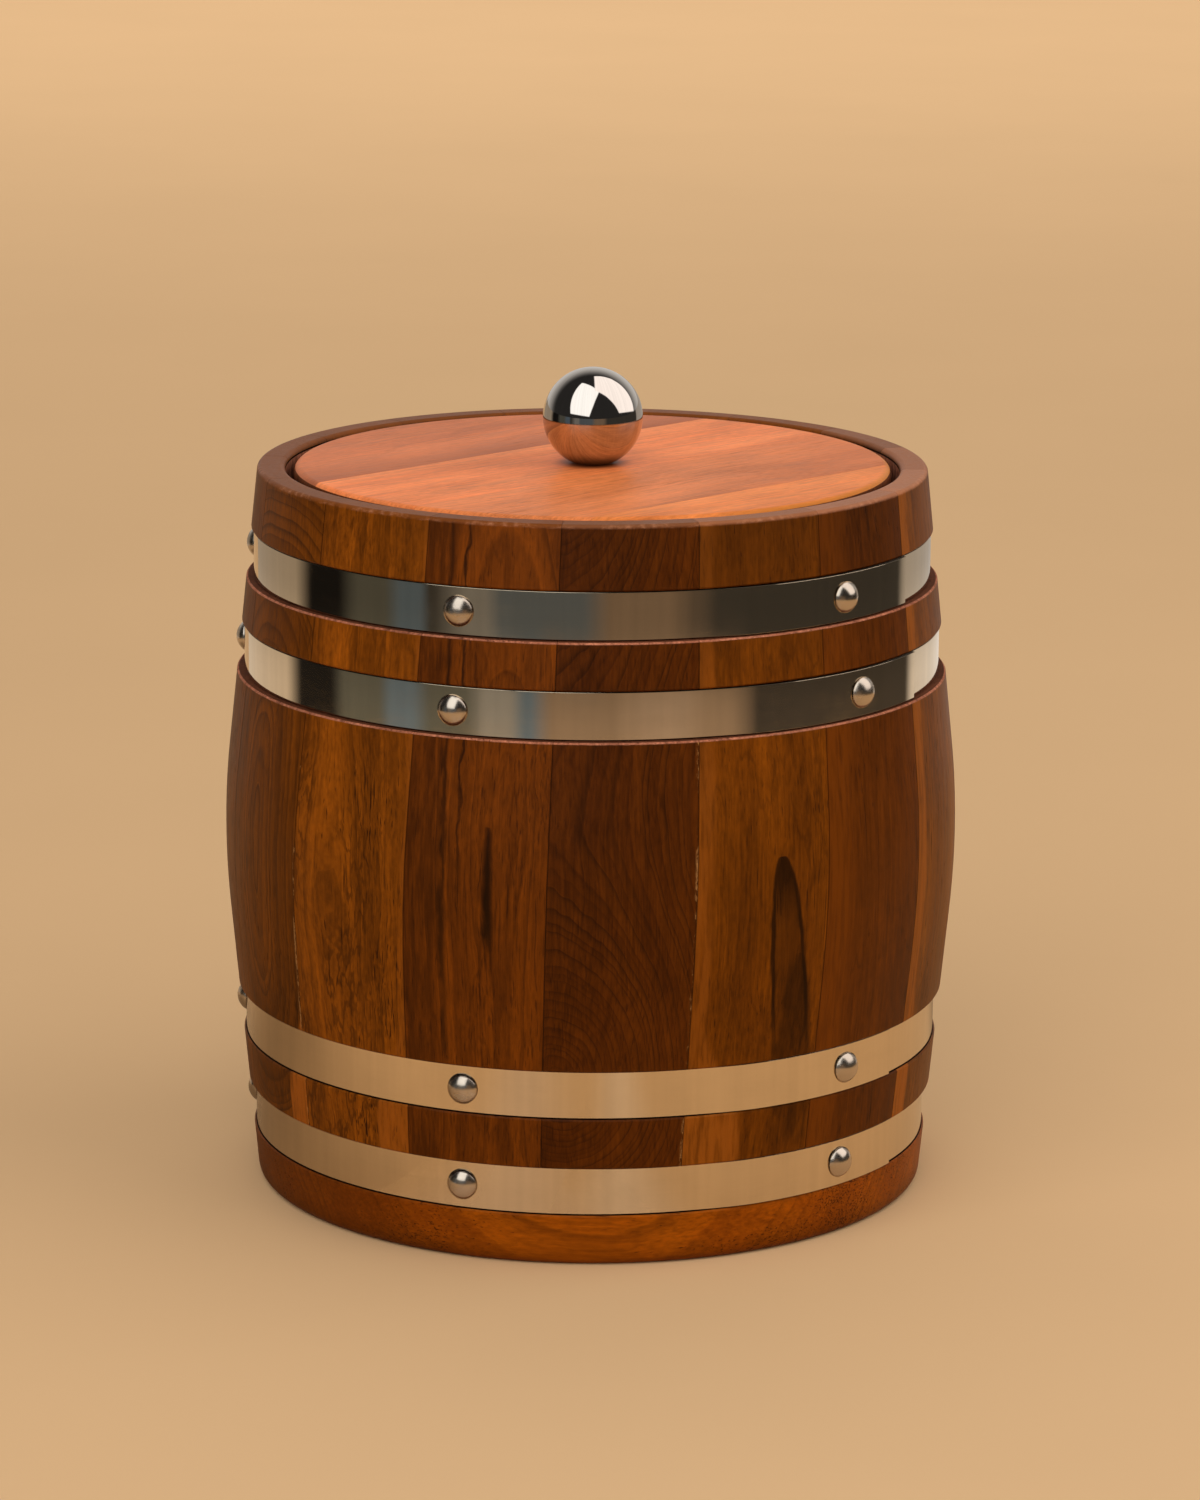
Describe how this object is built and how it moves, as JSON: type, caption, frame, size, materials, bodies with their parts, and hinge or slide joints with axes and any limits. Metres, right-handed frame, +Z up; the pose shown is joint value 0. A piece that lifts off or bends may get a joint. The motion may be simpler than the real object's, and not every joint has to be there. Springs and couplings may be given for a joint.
{
  "type": "ice bucket",
  "caption": "Barrel-shaped wooden ice bucket with nailed steel hoops, a lift-out steel liner and a lift-off wooden lid with a ball knob.",
  "frame": {"origin": "middle of the foot, on the surface that the bucket stands on", "axes": "+Z up along the barrel's axis, with the side that the picture shows facing -Y"},
  "size_m": [0.1876, 0.1876, 0.2099],
  "materials": {
    "stave_wood": "satin lacquer",
    "base_wood": "satin lacquer",
    "lid_wood": "satin oil",
    "hoop_steel": "polished",
    "nail_steel": "polished",
    "liner_steel": "satin",
    "knob_steel": "mirror polish",
    "fastener_steel": "plated"
  },
  "bodies": {
    "barrel": {"stave_01": "stave_wood", "stave_02": "stave_wood", "stave_03": "stave_wood", "stave_04": "stave_wood", "stave_05": "stave_wood", "stave_06": "stave_wood", "stave_07": "stave_wood", "stave_08": "stave_wood", "stave_09": "stave_wood", "stave_10": "stave_wood", "stave_11": "stave_wood", "stave_12": "stave_wood", "stave_13": "stave_wood", "stave_14": "stave_wood", "stave_15": "stave_wood", "stave_16": "stave_wood", "base_board": "base_wood", "rim_hoop": "hoop_steel", "upper_hoop": "hoop_steel", "lower_hoop": "hoop_steel", "foot_hoop": "hoop_steel", "rim_hoop_nails": "nail_steel", "upper_hoop_nails": "nail_steel", "lower_hoop_nails": "nail_steel", "foot_hoop_nails": "nail_steel"},
    "liner": {"liner": "liner_steel"},
    "lid": {"lid_board_1": "lid_wood", "lid_board_2": "lid_wood", "lid_board_3": "lid_wood", "lid_board_4": "lid_wood", "knob": "knob_steel", "knob_screw": "fastener_steel", "knob_washer": "fastener_steel"}
  },
  "joints": [
    {"name": "liner_lift", "type": "slide", "parent": "barrel", "child": "liner", "axis": [0, 0, 1], "range_m": [0, 0.18]},
    {"name": "lid_lift", "type": "slide", "parent": "liner", "child": "lid", "axis": [0, 0, 1], "range_m": [0, 0.15]}
  ]
}
